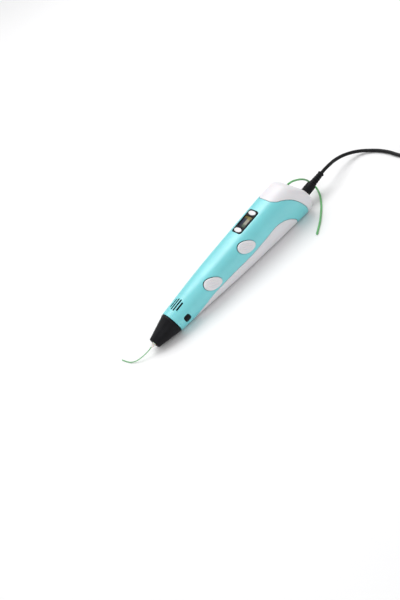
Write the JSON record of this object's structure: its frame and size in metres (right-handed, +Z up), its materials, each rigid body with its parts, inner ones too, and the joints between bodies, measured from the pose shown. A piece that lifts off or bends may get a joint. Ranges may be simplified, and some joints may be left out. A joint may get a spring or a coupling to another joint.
{
  "type": "3d printing pen",
  "caption": "Hand-held pen that melts plastic filament: tapered oval body, pull-off nozzle, side buttons, top display, sprung feeder, plugged-in lead and filament.",
  "frame": {"origin": "on the table under the middle of the pen's own box (the lead, coil, plugs and loose filament are left out of it)", "axes": "+X along the pen from its nozzle to its rear end, +Z up and out of the display's side, -Y the side with the two oval buttons"},
  "size_m": [0.3671, 0.1034, 0.0401],
  "materials": {
    "shell_blue": "satin",
    "white_plastic": "satin",
    "black_plastic": "satin",
    "grey_plastic": "matte",
    "screen_glass": "gloss",
    "ceramic": "satin",
    "steel": "brushed",
    "brass": "satin",
    "circuit_board": "matte",
    "feed_tube_white": "satin",
    "filament_green": "satin",
    "cord_black": "matte"
  },
  "bodies": {
    "pen_body": {"body_shell": "shell_blue", "belly_cover": "white_plastic", "rear_cap": "white_plastic", "shell_screw_1": "steel", "shell_screw_2": "steel", "shell_screw_3": "steel", "latch_spring": "steel", "nozzle_socket": "grey_plastic", "fan_housing": "black_plastic", "feed_tube": "feed_tube_white", "feed_switch": "grey_plastic", "retract_switch": "grey_plastic", "display_bezel": "black_plastic", "display_module": "screen_glass", "temp_up_key_switch": "grey_plastic", "temp_down_key_switch": "grey_plastic", "slide_potentiometer": "grey_plastic", "main_board": "circuit_board", "control_chip": "black_plastic", "feeder_frame": "grey_plastic", "motor_gearbox": "brass", "motor_can": "steel", "idler_pin": "steel", "idler_spring": "steel", "inlet_guide": "feed_tube_white", "dc_jack": "black_plastic", "dc_plug": "black_plastic", "plug_strain_relief": "black_plastic", "power_cord": "cord_black", "power_cord_end": "cord_black", "cord_coil": "cord_black", "cord_tie": "black_plastic", "usb_plug_body": "black_plastic", "usb_plug_shell": "steel", "usb_plug_relief": "black_plastic", "filament": "filament_green", "filament_tail": "filament_green"},
    "nozzle": {"nozzle_cover": "black_plastic", "ceramic_nozzle": "ceramic", "heater_barrel": "steel", "heater_sleeve": "feed_tube_white", "nozzle_plug": "grey_plastic", "extruded_strand": "filament_green"},
    "latch": {"nozzle_latch": "black_plastic"},
    "fan": {"fan_rotor": "black_plastic"},
    "feed_button": {"feed_button": "white_plastic"},
    "retract_button": {"retract_button": "white_plastic"},
    "temp_up_key": {"temp_up_key": "white_plastic"},
    "temp_down_key": {"temp_down_key": "white_plastic"},
    "speed_slider": {"speed_slider": "white_plastic"},
    "drive": {"drive_axle": "steel", "worm_wheel": "white_plastic"},
    "motor_shaft": {"motor_worm": "brass"},
    "idler_lever": {"idler_lever": "black_plastic"},
    "idler_bearing": {"idler_bearing": "steel"}
  },
  "joints": [
    {"name": "feed_press", "type": "slide", "parent": "pen_body", "child": "feed_button", "axis": [0, 1, 0], "range_m": [0, 0.0008], "stiffness_N_per_m": 300},
    {"name": "retract_press", "type": "slide", "parent": "pen_body", "child": "retract_button", "axis": [0, 1, 0], "range_m": [0, 0.0008], "stiffness_N_per_m": 300},
    {"name": "temp_up_press", "type": "slide", "parent": "pen_body", "child": "temp_up_key", "axis": [0.1435, 0, -0.9897], "range_m": [0, 0.0005], "stiffness_N_per_m": 300},
    {"name": "temp_down_press", "type": "slide", "parent": "pen_body", "child": "temp_down_key", "axis": [0.1435, 0, -0.9897], "range_m": [0, 0.0005], "stiffness_N_per_m": 300},
    {"name": "latch_press", "type": "slide", "parent": "pen_body", "child": "latch", "axis": [0, 1, 0], "range_m": [0, 0.001], "stiffness_N_per_m": 400},
    {"name": "speed_slide", "type": "slide", "parent": "pen_body", "child": "speed_slider", "axis": [0.9897, 0, 0.1435], "range_m": [-0.004, 0.004]},
    {"name": "nozzle_pull", "type": "slide", "parent": "pen_body", "child": "nozzle", "axis": [-0.9897, 0, -0.1435], "range_m": [0, 0.015]},
    {"name": "drive_spin", "type": "hinge", "parent": "pen_body", "child": "drive", "pos_m": [0.06045, 0, 0.02371], "axis": [0, 1, 0], "continuous": true},
    {"name": "motor_spin", "type": "hinge", "parent": "pen_body", "child": "motor_shaft", "pos_m": [0.06155, 0.0032, 0.01609], "axis": [0.9897, 0, 0.1435], "continuous": true},
    {"name": "idler_pivot", "type": "hinge", "parent": "pen_body", "child": "idler_lever", "pos_m": [0.06518, 0, 0.03289], "axis": [0, 1, 0], "range_deg": [0, 5], "stiffness_Nm_per_rad": 0.05, "deforming": ["idler_spring"]},
    {"name": "idler_spin", "type": "hinge", "parent": "idler_lever", "child": "idler_bearing", "pos_m": [0.05924, 0, 0.03203], "axis": [0, 1, 0], "continuous": true},
    {"name": "fan_spin", "type": "hinge", "parent": "pen_body", "child": "fan", "pos_m": [-0.05662, 0, 0.01714], "axis": [-0.1435, 0, 0.9897], "continuous": true}
  ],
  "couplings": [
    {"joint": "motor_spin", "follows": "drive_spin", "ratio": 16},
    {"joint": "idler_spin", "follows": "drive_spin", "ratio": -1.6383}
  ]
}
